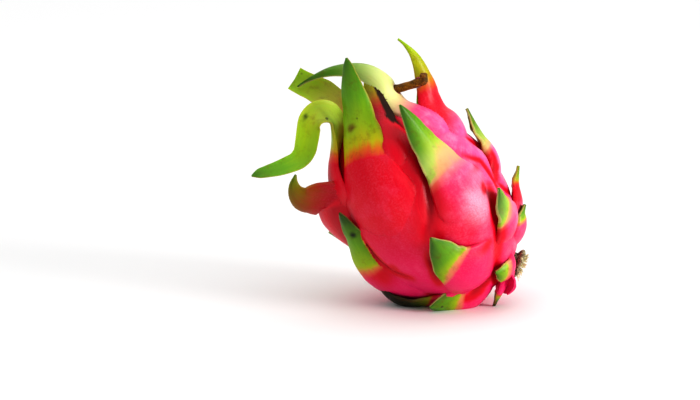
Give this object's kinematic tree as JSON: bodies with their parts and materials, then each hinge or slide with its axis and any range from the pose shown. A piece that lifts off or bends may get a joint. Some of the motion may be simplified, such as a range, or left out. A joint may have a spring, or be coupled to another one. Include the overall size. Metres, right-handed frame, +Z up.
{
  "type": "dragon fruit",
  "caption": "Whole dragon fruit as picked, with green-tipped leafy scales, a dried stalk stub and a withered flower, lying tilted on its underside",
  "frame": {"origin": "on the resting surface, under the middle of the bounding box", "axes": "+Z is up; the front shown in the picture faces -Y; the flower end points up towards -X and the stem end down towards +X"},
  "size_m": [0.1384, 0.101, 0.1347],
  "materials": {
    "skin": "waxy crimson skin, green towards the tips of the scales",
    "dry_stalk": "dry, fibrous",
    "withered_flower": "dry, mottled"
  },
  "bodies": {
    "root": {"fruit": "skin", "stem_stub": "dry_stalk", "flower_remnant": "withered_flower"}
  },
  "joints": []
}
